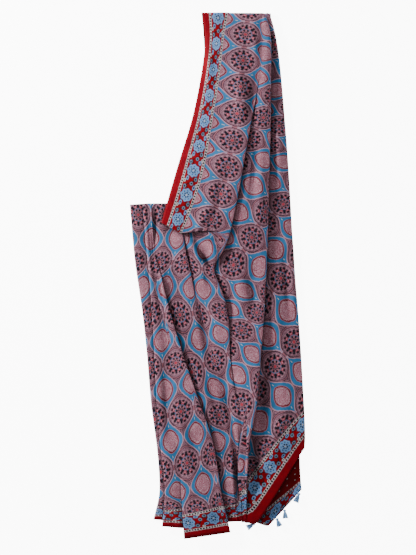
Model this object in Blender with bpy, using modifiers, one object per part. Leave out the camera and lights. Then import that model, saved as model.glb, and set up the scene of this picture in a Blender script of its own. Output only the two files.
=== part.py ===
# Ajrakh cloth: one long block-printed cloth, laid out in the shape in which it is worn.
# A pleated lower part, a front flap rising to a straight shoulder fold, and a tail
# that goes back underneath and comes out at the lower right, where the tassels are tied.
# Metres, +Z up; the cloth lies on z = 0 and +Y points to the shoulder fold.

import bpy
import math
import numpy as np

# ---------------------------------------------------------------- materials and sizes
MM = 0.001
CLOTH_THICK = 2.0          # thickness of the printed cotton as built, mm
LAYER = 4.2                # height between neighbouring layers of a fold, mm
TAIL_Z = 1.0               # mid height of the tail layer, which lies flat on the surface
CENTRE_X = 1.5             # middle of the laid-out cloth across and along, mm
CENTRE_Y = 2.24

# Levels from the shoulder fold down to the hem, with the usual Y of each one, mm.
LEVELS = (
    ("top", 736.0),
    ("shoulder", 662.0),
    ("chest", 558.0),
    ("rib", 437.0),
    ("side", 338.0),
    ("low_side", 242.0),
    ("lip", 140.0),
    ("return", 115.0),
    ("swag", 60.0),
    ("tuck", 12.0),
    ("hip", -108.0),
    ("thigh", -232.0),
    ("knee", -360.0),
    ("shin", -472.0),
    ("ankle", -592.0),
    ("hem", -700.0),
)
LEVEL_NAMES = [name for name, _ in LEVELS]
LEVEL_Y = {name: y for name, y in LEVELS}
N_LEVELS = len(LEVELS)
LIP = LEVEL_NAMES.index("lip")
RETURN = LEVEL_NAMES.index("return")

# Rows laid between one level and the next one down.
ROWS_BETWEEN = (2, 2, 2, 2, 2, 2, 5, 3, 2, 3, 2, 2, 2, 2, 3)

# Each line that runs down the cloth: which way it folds (+1 left layer on top, -1 right
# layer on top, 0 plain line), how deep it tucks, and its x, y, height and strength by level.
LINES = {
    "left_outline": dict(
        fold=0, tuck=0.0, starts="return",
        x=dict(**{"return": -242.0}, swag=-230.0, tuck=-224.0, hip=-206.0, thigh=-193.0,
               knee=-183.0, shin=-167.0, ankle=-158.0, hem=-176.0),
        y=dict(**{"return": 200.0}, hem=-681.0),
        z=dict(**{"return": 6.0}, hem=6.0),
    ),
    "narrow_pleat": dict(
        fold=-1, tuck=16.0, starts="return",
        x=dict(**{"return": -207.0}, swag=-195.0, tuck=-190.0, hip=-180.0, thigh=-173.0,
               knee=-167.0, shin=-157.0, ankle=-143.0, hem=-152.0),
        y=dict(**{"return": 202.0}, hem=-700.0),
        z=dict(**{"return": 14.0}, hem=14.0),
        w=dict(**{"return": 1.0}, hem=1.0),
    ),
    "hem_pleat": dict(
        fold=-1, tuck=14.0, starts="return",
        x=dict(**{"return": -192.0}, swag=-181.0, tuck=-174.0, hip=-155.0, thigh=-137.0,
               knee=-120.0, shin=-108.0, ankle=-101.0, hem=-90.0),
        y=dict(**{"return": 203.0}, hem=-734.0),
        z=dict(**{"return": 13.0}, shin=13.5, ankle=18.0, hem=22.0),
        w=dict(**{"return": 0.0}, shin=0.0, ankle=0.55, hem=1.0),
    ),
    "slanting_pleat": dict(
        fold=1, tuck=22.0, starts="return",
        x=dict(**{"return": -179.0}, swag=-168.0, tuck=-159.0, hip=-130.0, thigh=-92.0,
               knee=-48.0, shin=-9.0, ankle=8.0, hem=36.0),
        y=dict(**{"return": 203.0}, hem=-716.0),
        z=dict(**{"return": 13.0}, swag=14.0, tuck=18.0, hip=22.0, ankle=23.0, hem=21.0),
        w=dict(**{"return": 0.0}, swag=0.1, tuck=0.6, hip=1.0, hem=1.0),
    ),
    "free_edge": dict(
        fold=0, tuck=0.0, starts="top",
        x=dict(top=-43.0, shoulder=-32.0, chest=-45.0, rib=-70.0, side=-101.0,
               low_side=-129.0, lip=-155.0, **{"return": -134.0}, swag=-126.0, tuck=-116.0,
               hip=-88.0, thigh=-50.0, knee=-6.0, shin=28.0, ankle=40.0, hem=52.0),
        y=dict(top=737.0, low_side=242.0, lip=150.0, **{"return": 203.0}, swag=62.0,
               ankle=-592.0, hem=-686.0),
        z=dict(top=10.0, shoulder=8.0, side=9.0, low_side=17.0, lip=27.0,
               **{"return": 15.5}, swag=15.0, hip=11.5, hem=11.5),
    ),
    "panel_edge": dict(
        fold=1, tuck=13.0, starts="top",
        x=dict(top=32.0, shoulder=20.0, chest=9.0, rib=-11.0, side=-27.0,
               low_side=-50.0, lip=-97.0, **{"return": -102.0}, swag=-85.0, tuck=-74.0,
               hip=-48.0, thigh=-12.0, knee=26.0, shin=50.0, ankle=56.0, hem=64.0),
        y=dict(top=737.0, low_side=240.0, lip=121.0, **{"return": 168.0}, swag=56.0,
               ankle=-590.0, hem=-686.0),
        z=dict(top=10.0, shoulder=18.0, side=22.0, low_side=27.0, lip=32.0,
               **{"return": 20.5}, swag=24.0, tuck=23.0, hip=13.0, hem=12.0),
        w=dict(top=0.0, **{"return": 0.0}, swag=1.0, tuck=0.8, hip=0.0, hem=0.0),
    ),
    "curved_fold": dict(
        fold=1, tuck=22.0, starts="top",
        x=dict(top=122.0, shoulder=123.0, chest=120.0, rib=95.0, side=77.0,
               low_side=60.0, lip=37.0, **{"return": 30.0}, swag=12.0, tuck=-12.0,
               hip=33.0, thigh=36.0, knee=60.0, shin=68.0, ankle=70.0, hem=74.0),
        y=dict(top=736.0, low_side=240.0, lip=128.0, **{"return": 105.0}, swag=62.0,
               tuck=22.0, hip=-108.0, ankle=-590.0, hem=-688.0),
        z=dict(top=10.0, shoulder=19.0, chest=24.0, rib=32.0, **{"return": 35.0}, swag=34.0,
               tuck=28.0, hip=27.0, thigh=22.0, knee=18.0, hem=13.5),
        w=dict(top=0.0, shoulder=0.0, chest=0.1, rib=0.9, side=1.0, **{"return": 1.0},
               swag=1.0, tuck=0.9, hip=0.9, thigh=0.6, knee=0.1, shin=0.0, hem=0.0),
    ),
    "long_fold": dict(
        fold=1, tuck=24.0, starts="top",
        x=dict(top=138.0, shoulder=150.0, chest=149.0, rib=148.0, side=146.0,
               low_side=143.0, lip=141.0, **{"return": 140.0}, swag=138.0, tuck=136.0,
               hip=130.0, thigh=120.0, knee=110.0, shin=87.0, ankle=82.0, hem=84.0),
        y=dict(top=735.5, low_side=240.0, lip=150.0, **{"return": 118.0}, swag=68.0,
               tuck=15.0, ankle=-590.0, hem=-690.0),
        z=dict(top=10.0, shoulder=20.0, chest=23.0, hip=27.0, knee=30.0, shin=30.0,
               ankle=24.0, hem=14.0),
        w=dict(top=0.0, shoulder=1.0, shin=1.0, ankle=0.9, hem=0.0),
    ),
    "valley_ridge": dict(
        fold=0, tuck=0.0, starts="top",
        x=dict(top=143.5, shoulder=158.0, chest=163.0, rib=168.0, side=172.0,
               low_side=174.0, lip=178.0, **{"return": 178.0}, swag=179.0, tuck=180.0,
               hip=176.0, thigh=162.0, knee=142.0, shin=122.0, ankle=118.0, hem=112.0),
        y=dict(top=735.0, low_side=240.0, lip=152.0, **{"return": 118.0}, swag=68.0,
               tuck=12.0, shin=-470.0, ankle=-570.0, hem=-696.0),
        z=dict(top=10.0, shoulder=11.0, side=12.0, hip=12.0, knee=12.5, shin=13.0,
               ankle=13.0, hem=12.5),
    ),
    "right_outline": dict(
        fold=0, tuck=0.0, starts="top",
        x=dict(top=147.0, shoulder=165.0, chest=178.0, rib=188.0, side=196.0,
               low_side=202.0, lip=207.0, **{"return": 209.0}, swag=213.0, tuck=216.0,
               hip=226.0, thigh=234.0, knee=240.0, shin=244.0, ankle=245.0, hem=243.0),
        y=dict(top=734.5, low_side=240.0, lip=152.0, **{"return": 118.0}, swag=68.0,
               tuck=12.0, hip=-110.0, thigh=-226.0, knee=-330.0, shin=-405.0,
               ankle=-450.0, hem=-482.0),
        z=dict(top=10.0, shoulder=9.6, hem=9.6),
    ),
}

# The cloth turned under at the two outlines: width of the part turned under, by level, mm.
LEFT_TURN_UNDER = 42.0
RIGHT_TURN_UNDER = dict(top=-3.6, shoulder=34.0, chest=46.0, hip=52.0, ankle=40.0, hem=30.0)
TURN_RADIUS = 2.3

# How far the hem of the layer on each side of a pleat is drawn up or let down, mm.
HEM_STEP = {
    "narrow_pleat": (17.0, 0.0),
    "hem_pleat": (27.0, 0.0),
    "slanting_pleat": (0.0, 32.0),
}

# The tail underneath: its two long edges at each height, from the end up to the shoulder.
TAIL_STATIONS = (
    dict(name="end", left=(28.0, -664.0), right=(237.0, -598.0), sag=74.0),
    dict(name="band", left=(20.0, -600.0), right=(233.0, -550.0), sag=34.0),
    dict(name="ground", left=(4.0, -500.0), right=(231.0, -480.0), sag=12.0),
    dict(name="calf", left=(-14.0, -330.0), right=(226.0, -330.0), sag=0.0),
    dict(name="waist", left=(-40.0, 20.0), right=(205.0, 20.0), sag=0.0),
    dict(name="back", left=(-42.0, 330.0), right=(184.0, 330.0), sag=0.0),
    dict(name="blade", left=(-30.0, 600.0), right=(160.0, 600.0), sag=0.0),
    dict(name="top", left=(-43.0, 737.0), right=(150.6, 734.0), sag=0.0),
)
TAIL_ROWS_BETWEEN = (2, 1, 1, 1, 1, 1, 1)
TAIL_END_CORNER = 0.55     # where along the end the visible corner of the tail lies
SHOULDER_STEPS = 3         # rows round the shoulder fold

PANEL_CROWN = 2.2          # how far a panel swells between its lines, mm

# Columns laid between neighbouring lines.
PANELS = (
    ("left_outline", "narrow_pleat", 2),
    ("narrow_pleat", "hem_pleat", 2),
    ("hem_pleat", "slanting_pleat", 2),
    ("slanting_pleat", "free_edge", 2),
    ("free_edge", "panel_edge", 3),
    ("panel_edge", "curved_fold", 5),
    ("curved_fold", "long_fold", 3),
    ("long_fold", "valley_ridge", 2),
    ("valley_ridge", "right_outline", 2),
)

# Tassels tied to the end of the tail: where each is tied, and the way it points.
TASSELS = {
    "tassel_left": dict(at=(106.0, -691.5), points=211.0, long=26.0, wide=8.0),
    "tassel_low": dict(at=(166.8, -677.3), points=-70.0, long=25.0, wide=8.2),
    "tassel_mid": dict(at=(188.8, -652.9), points=-84.0, long=26.0, wide=8.0),
    "tassel_right": dict(at=(230.8, -606.4), points=-112.0, long=29.0, wide=8.2),
}


# ---------------------------------------------------------------- small helpers
def smooth_table(values, key_levels, samples):
    """Smooth values through the given levels: piecewise cubic that never overshoots."""
    x = np.asarray(key_levels, float)
    y = np.asarray(values, float)
    if len(x) == 1:
        return np.full(len(samples), y[0])
    step = np.diff(x)
    slope = np.diff(y) / step
    tangent = np.zeros(len(x))
    tangent[0] = slope[0]
    tangent[-1] = slope[-1]
    for i in range(1, len(x) - 1):
        if slope[i - 1] * slope[i] > 0.0:
            w1 = 2.0 * step[i] + step[i - 1]
            w2 = step[i] + 2.0 * step[i - 1]
            tangent[i] = (w1 + w2) / (w1 / slope[i - 1] + w2 / slope[i])
    out = []
    for s in samples:
        i = int(np.clip(np.searchsorted(x, s, side="right") - 1, 0, len(x) - 2))
        t = (s - x[i]) / step[i]
        t2 = t * t
        t3 = t2 * t
        h00 = 2 * t3 - 3 * t2 + 1
        h10 = t3 - 2 * t2 + t
        h01 = -2 * t3 + 3 * t2
        h11 = t3 - t2
        out.append(h00 * y[i] + h10 * step[i] * tangent[i]
                   + h01 * y[i + 1] + h11 * step[i] * tangent[i + 1])
    return np.array(out)


def by_level(table, samples, default=None):
    """Values of one column of a line's table at fractional level numbers."""
    keys = [LEVEL_NAMES.index(name) for name in table]
    order = np.argsort(keys)
    keys = [keys[i] for i in order]
    values = [list(table.values())[i] for i in order]
    if default is not None:
        filled = dict(zip(keys, values))
        for i, name in enumerate(LEVEL_NAMES):
            if keys[0] <= i <= keys[-1] and i not in filled:
                filled[i] = default[name]
        keys = sorted(filled)
        values = [filled[k] for k in keys]
    return smooth_table(values, keys, samples)


def ease(t):
    t = min(max(t, 0.0), 1.0)
    return t * t * (3.0 - 2.0 * t)


# ---------------------------------------------------------------- rows and lines
def row_levels():
    """Fractional level number of every row, from the shoulder fold to the hem."""
    rows = [0.0]
    for i, n in enumerate(ROWS_BETWEEN):
        for k in range(1, n + 1):
            rows.append(i + k / n)
    return np.array(rows)


ROWS = row_levels()
LIP_ROW = sum(ROWS_BETWEEN[:LIP])
RETURN_ROW = sum(ROWS_BETWEEN[:RETURN])


def line_points(name):
    """x, y, z and fold strength of one line at every row."""
    line = LINES[name]
    y_default = dict(LEVEL_Y)
    x = by_level(line["x"], ROWS)
    y = by_level({**y_default, **line["y"]} if line["starts"] == "top"
                 else line["y"], ROWS, y_default)
    z = by_level(line["z"], ROWS)
    w = by_level(line["w"], ROWS) if "w" in line else np.zeros(len(ROWS))
    return np.stack([x, y, z], axis=1), np.clip(w, 0.0, 1.0)


LINE_DATA = {name: line_points(name) for name in LINES}


def across_direction(name, row):
    """Unit vector across the cloth, square to the line at this row."""
    pts = LINE_DATA[name][0]
    a = pts[max(row - 1, 0)]
    b = pts[min(row + 1, len(pts) - 1)]
    if name in ("free_edge", "panel_edge") and LIP_ROW - 1 <= row <= RETURN_ROW + 1:
        return np.array([1.0, 0.0])
    d = np.array([b[0] - a[0], b[1] - a[1]])
    n = np.linalg.norm(d)
    if n < 1e-6:
        return np.array([1.0, 0.0])
    d = d / n
    out = np.array([-d[1], d[0]])
    if out[0] < 0.0:
        out = -out
    return out


def fold_section(name, row):
    """Points of one line's fold at one row, in order from left to right in the cloth."""
    line = LINES[name]
    pts, w = LINE_DATA[name]
    p = pts[row]
    if line["fold"] == 0:
        return [tuple(p)]
    strength = ease(w[row])
    d = across_direction(name, row)
    radius = LAYER / 2.0
    spread = 1.7
    tuck = line["tuck"] * strength
    drop = 2.0 * LAYER * strength
    flat = [(-2.5 + k) * spread for k in range(6)]
    folded = [0.0, radius, 0.0, -tuck, -tuck - radius, -tuck]
    heights = [0.0, 0.25, 0.5, 0.5, 0.75, 1.0]
    out = []
    for k in range(6):
        along = flat[k] * (1.0 - strength) + folded[k] * strength
        z = p[2] - drop * heights[k]
        out.append((p[0] + d[0] * along, p[1] + d[1] * along, z))
    if line["fold"] < 0:
        mirrored = []
        for k in range(5, -1, -1):
            along = flat[5 - k] * (1.0 - strength) - folded[k] * strength
            z = p[2] - drop * heights[k]
            mirrored.append((p[0] + d[0] * along, p[1] + d[1] * along, z))
        out = mirrored
    step = HEM_STEP.get(name)
    if step is not None:
        fade = ease((ROWS[row] - (N_LEVELS - 2.2)) / 1.2)
        ramp = [0.0, 0.0, 0.15, 0.85, 1.0, 1.0]
        out = [(q[0], q[1] + fade * (step[0] * (1 - t) + step[1] * t), q[2])
               for q, t in zip(out, ramp)]
    return out


def outline_turn(name, row, side, width, radius):
    """Points where the cloth turns under at an outline, from the outline inwards."""
    p = LINE_DATA[name][0][row]
    rolled = ease(width / 20.0) if width > 0.0 else 0.0
    r = radius * rolled
    inward = -side
    pts = [(p[0], p[1], p[2])]
    if rolled > 0.0:
        pts.append((p[0] + side * r, p[1], p[2] - r))
        pts.append((p[0], p[1], p[2] - 2 * r))
        pts.append((p[0] + inward * width * 0.5, p[1], p[2] - 2 * r))
        pts.append((p[0] + inward * width, p[1], p[2] - 2 * r))
    else:
        for k in range(1, 5):
            pts.append((p[0] + side * abs(width) * k / 4.0, p[1], p[2]))
    return pts


# ---------------------------------------------------------------- the grid of the cloth
def panel_columns(left, right, count, crown):
    """Points between two lines: straight across with a soft crown."""
    out = []
    for k in range(1, count):
        t = k / count
        bump = crown * math.sin(math.pi * t)
        out.append(tuple(a * (1 - t) + b * t for a, b in zip(left[:2], right[:2]))
                   + (left[2] * (1 - t) + right[2] * t + bump,))
    return out


def section(row):
    """The whole section across the cloth at one row, from the left end to the right end."""
    whole = ROWS[row] >= RETURN - 1e-9
    pts = []
    turn = by_level(RIGHT_TURN_UNDER, [ROWS[row]])[0]
    if whole:
        left_turn = outline_turn("left_outline", row, -1, LEFT_TURN_UNDER, TURN_RADIUS)
        for q in reversed(left_turn):
            pts.append(q)
    for a, b, count in PANELS:
        if not whole and LINES[a]["starts"] != "top":
            continue
        left = fold_section(a, row)
        right = fold_section(b, row)
        if not pts:
            pts.extend(left)
        inner = panel_columns(left[-1], right[0], count, PANEL_CROWN)
        pts.extend(inner)
        if b != "right_outline":
            pts.extend(right)
    pts.extend(outline_turn("right_outline", row, 1, turn, TURN_RADIUS))
    return pts


def count_left_columns():
    """Columns that lie to the left of the free edge."""
    n = 5
    for a, b, count in PANELS:
        if b == "free_edge":
            n += count - 1
            break
        n += count - 1
        n += 6 if LINES[b]["fold"] != 0 else 1
    return n


LEFT_COLUMNS = count_left_columns()


def lip_fold(rows):
    """Fold the front flap back under itself along its lip."""
    first = rows[LIP_ROW]
    last = rows[RETURN_ROW][LEFT_COLUMNS:]
    n = len(first)
    new = [[] for _ in range(6)]
    # strength of the lip in each column: full from the free edge to the panel edge
    x_full = LINE_DATA["panel_edge"][0][LIP_ROW][0]
    x_none = LINE_DATA["curved_fold"][0][LIP_ROW][0] - 42.0
    for j in range(n):
        a = np.array(first[j])
        b = np.array(last[j])
        t = (a[0] - x_full) / (x_none - x_full)
        w = 1.0 - ease(t)
        if j > 20:
            w = 0.0
        r = LAYER / 2.0
        for k in range(6):
            f = k / 5.0
            plain = a * (1 - f) + b * f
            base = a if k < 3 else b
            down = (0.0, -r, 0.0, 0.0, r, 0.0)[k]
            z = a[2] - 2.0 * LAYER * (0.0, 0.25, 0.5, 0.5, 0.75, 1.0)[k]
            folded = np.array([base[0], base[1] + down, z])
            q = plain * (1 - w) + folded * w
            new[k].append(tuple(q))
    return new


def tail_rows(columns):
    """Rows of the tail, from its end up to the shoulder fold."""
    rows = []
    stations = TAIL_STATIONS
    for i, n in enumerate(TAIL_ROWS_BETWEEN):
        a = stations[i]
        b = stations[i + 1]
        for k in range(n):
            t = k / n
            left = [a["left"][m] * (1 - t) + b["left"][m] * t for m in range(2)]
            right = [a["right"][m] * (1 - t) + b["right"][m] * t for m in range(2)]
            sag = a["sag"] * (1 - t) + b["sag"] * t
            row = []
            for j in range(columns):
                s = j / (columns - 1)
                if s < TAIL_END_CORNER:
                    dip = s / TAIL_END_CORNER
                else:
                    dip = (1.0 - s) / (1.0 - TAIL_END_CORNER)
                x = left[0] * (1 - s) + right[0] * s
                y = left[1] * (1 - s) + right[1] * s - sag * dip
                row.append((x, y, TAIL_Z))
            rows.append(row)
    return rows


def cloth_grid():
    """Rows of points; the upper rows are shorter because the flap has fewer columns."""
    front = [section(r) for r in range(len(ROWS))]
    folded = lip_fold(front)
    top = front[0]
    columns = len(top)
    rows = tail_rows(columns)
    # round the shoulder fold: from the tail up and over to the front
    radius = (top[0][2] - TAIL_Z) / 2.0
    flat = []
    for j, q in enumerate(top):
        flat.append((q[0], q[1] - radius, TAIL_Z))
    rows.append(flat)
    for k in range(1, SHOULDER_STEPS + 1):
        angle = -math.pi / 2.0 + math.pi * k / (SHOULDER_STEPS + 1)
        ring = []
        for q in top:
            y = q[1] - radius + radius * math.cos(angle)
            z = TAIL_Z + radius + radius * math.sin(angle)
            ring.append((q[0], y, z))
        rows.append(ring)
    front[0] = [(q[0], q[1] - radius, q[2]) for q in top]
    upper = front[:LIP_ROW] + folded
    rows.extend(upper)
    lower = front[RETURN_ROW:]
    # the first full row joins the last folded row
    lower[0] = lower[0][:LEFT_COLUMNS] + folded[-1]
    return rows[:-1], lower


def make_cloth():
    upper, lower = cloth_grid()
    verts = []
    faces = []
    columns = len(upper[0])
    for row in upper:
        verts.extend(row)
    for i in range(len(upper) - 1):
        for j in range(columns - 1):
            a = i * columns + j
            faces.append((a, a + columns, a + columns + 1, a + 1))
    base = len(verts)
    wide = len(lower[0])
    for row in lower:
        verts.extend(row)
    for i in range(len(lower) - 1):
        for j in range(wide - 1):
            a = base + i * wide + j
            faces.append((a, a + wide, a + wide + 1, a + 1))
    # join the flap's last row to the first full row
    top_last = (len(upper) - 1) * columns
    for j in range(columns - 1):
        a = top_last + j
        b = base + LEFT_COLUMNS + j
        faces.append((a, b, b + 1, a + 1))
    verts = [((x - CENTRE_X) * MM, (y - CENTRE_Y) * MM, z * MM) for x, y, z in verts]
    mesh = bpy.data.meshes.new("cloth")
    mesh.from_pydata(verts, [], faces)
    mesh.validate()
    obj = bpy.data.objects.new("cloth", mesh)
    solid = obj.modifiers.new("thickness", "SOLIDIFY")
    solid.thickness = CLOTH_THICK * MM
    solid.offset = 0.0
    solid.use_even_offset = False
    return obj


# ---------------------------------------------------------------- tassels
TASSEL_PROFILE = (
    # share of the length, share of the radius
    (0.00, 0.16),
    (0.05, 0.52),
    (0.14, 0.66),
    (0.23, 0.40),
    (0.28, 0.38),
    (0.36, 0.62),
    (0.60, 0.84),
    (0.94, 1.00),
    (1.00, 0.92),
)
TASSEL_SIDES = 12
TASSEL_FLUTE = 0.10


def make_tassel(name, at, points, long, wide):
    angle = math.radians(points)
    axis = np.array([math.cos(angle), math.sin(angle), 0.0])
    side = np.array([-axis[1], axis[0], 0.0])
    verts = []
    faces = []
    for share, radius in TASSEL_PROFILE:
        for k in range(TASSEL_SIDES):
            turn = 2.0 * math.pi * k / TASSEL_SIDES
            flute = 1.0 + (TASSEL_FLUTE * (-1) ** k if share > 0.3 else 0.0)
            r = radius * flute
            flat = 0.62
            c = axis * share * long + side * r * wide * math.cos(turn)
            height = wide * flat * 1.12
            z = max(height + r * wide * flat * math.sin(turn), 0.25)
            verts.append((at[0] + c[0], at[1] + c[1], z))
    rings = len(TASSEL_PROFILE)
    for i in range(rings - 1):
        for k in range(TASSEL_SIDES):
            a = i * TASSEL_SIDES + k
            b = i * TASSEL_SIDES + (k + 1) % TASSEL_SIDES
            faces.append((a, b, b + TASSEL_SIDES, a + TASSEL_SIDES))
    faces.append(tuple(reversed(range(TASSEL_SIDES))))
    faces.append(tuple((rings - 1) * TASSEL_SIDES + k for k in range(TASSEL_SIDES)))
    verts = [((x - CENTRE_X) * MM, (y - CENTRE_Y) * MM, z * MM) for x, y, z in verts]
    mesh = bpy.data.meshes.new(name)
    mesh.from_pydata(verts, [], faces)
    return bpy.data.objects.new(name, mesh)


# ---------------------------------------------------------------- finish
def make_material(name, colour, roughness):
    mat = bpy.data.materials.new(name)
    mat.use_nodes = True
    shader = mat.node_tree.nodes["Principled BSDF"]
    shader.inputs["Base Color"].default_value = (*colour, 1.0)
    shader.inputs["Roughness"].default_value = roughness
    return mat


for old in list(bpy.data.objects):
    bpy.data.objects.remove(old, do_unlink=True)

collection = bpy.data.collections.new("ajrakh_cloth")
bpy.context.scene.collection.children.link(collection)

printed_cotton = make_material("printed_cotton", (0.36, 0.13, 0.15), 0.9)
tassel_thread = make_material("tassel_thread", (0.10, 0.24, 0.46), 0.85)

cloth = make_cloth()
cloth.data.materials.append(printed_cotton)
collection.objects.link(cloth)
for polygon in cloth.data.polygons:
    polygon.use_smooth = True

for tassel_name, spec in TASSELS.items():
    tassel = make_tassel(tassel_name, **spec)
    tassel.data.materials.append(tassel_thread)
    collection.objects.link(tassel)
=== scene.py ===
# %% [markdown]
# # Ajrakh cloth
# A block-printed cotton cloth laid out in its worn shape. The lesson goes from the frame,
# through the folded sheet and its print, to the tassels, the light and the camera.

# %%
import math

import bpy
import numpy as np
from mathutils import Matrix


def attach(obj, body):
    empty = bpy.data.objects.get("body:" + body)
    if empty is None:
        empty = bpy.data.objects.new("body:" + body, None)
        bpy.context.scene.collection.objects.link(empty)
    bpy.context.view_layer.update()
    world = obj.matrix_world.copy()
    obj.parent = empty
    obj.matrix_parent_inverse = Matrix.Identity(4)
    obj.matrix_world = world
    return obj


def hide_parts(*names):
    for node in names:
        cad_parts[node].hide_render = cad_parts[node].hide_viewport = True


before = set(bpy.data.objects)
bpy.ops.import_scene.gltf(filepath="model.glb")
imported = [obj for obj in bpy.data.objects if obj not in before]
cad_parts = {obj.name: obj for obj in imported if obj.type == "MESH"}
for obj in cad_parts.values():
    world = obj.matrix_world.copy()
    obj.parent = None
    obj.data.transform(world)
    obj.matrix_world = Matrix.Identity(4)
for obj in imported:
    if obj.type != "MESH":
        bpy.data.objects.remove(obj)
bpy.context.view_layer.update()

# %% [markdown]
# ## Sizes and tables
# The same lines of folds shape the sheet here and in the solid model. Every line runs
# down the cloth; its row gives the side, height and strength of its fold by level.

# %%
MM = 0.001
CLOTH_THICK = 2.0          # thickness of the printed cotton as built, mm
LAYER = 4.2                # height between neighbouring layers of a fold, mm
TAIL_Z = 1.0               # mid height of the tail layer, which lies flat on the surface
CENTRE_X = 1.5             # middle of the laid-out cloth across and along, mm
CENTRE_Y = 2.24
RENDER_THICK = 0.9         # thickness of the cotton as it looks, mm

# Levels from the shoulder fold down to the hem, with the usual Y of each one, mm.
LEVELS = (
    ("top", 736.0),
    ("shoulder", 662.0),
    ("chest", 558.0),
    ("rib", 437.0),
    ("side", 338.0),
    ("low_side", 242.0),
    ("lip", 140.0),
    ("under", 115.0),
    ("swag", 60.0),
    ("tuck", 12.0),
    ("hip", -108.0),
    ("thigh", -232.0),
    ("knee", -360.0),
    ("shin", -472.0),
    ("ankle", -592.0),
    ("hem", -700.0),
)
LEVEL_NAMES = [name for name, _ in LEVELS]
LEVEL_Y = {name: y for name, y in LEVELS}
N_LEVELS = len(LEVELS)
LIP = LEVEL_NAMES.index("lip")
UNDER = LEVEL_NAMES.index("under")

# Rows laid between one level and the next one down.
ROWS_BETWEEN = (2, 2, 2, 2, 2, 2, 5, 3, 2, 3, 2, 2, 2, 2, 3)

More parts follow.
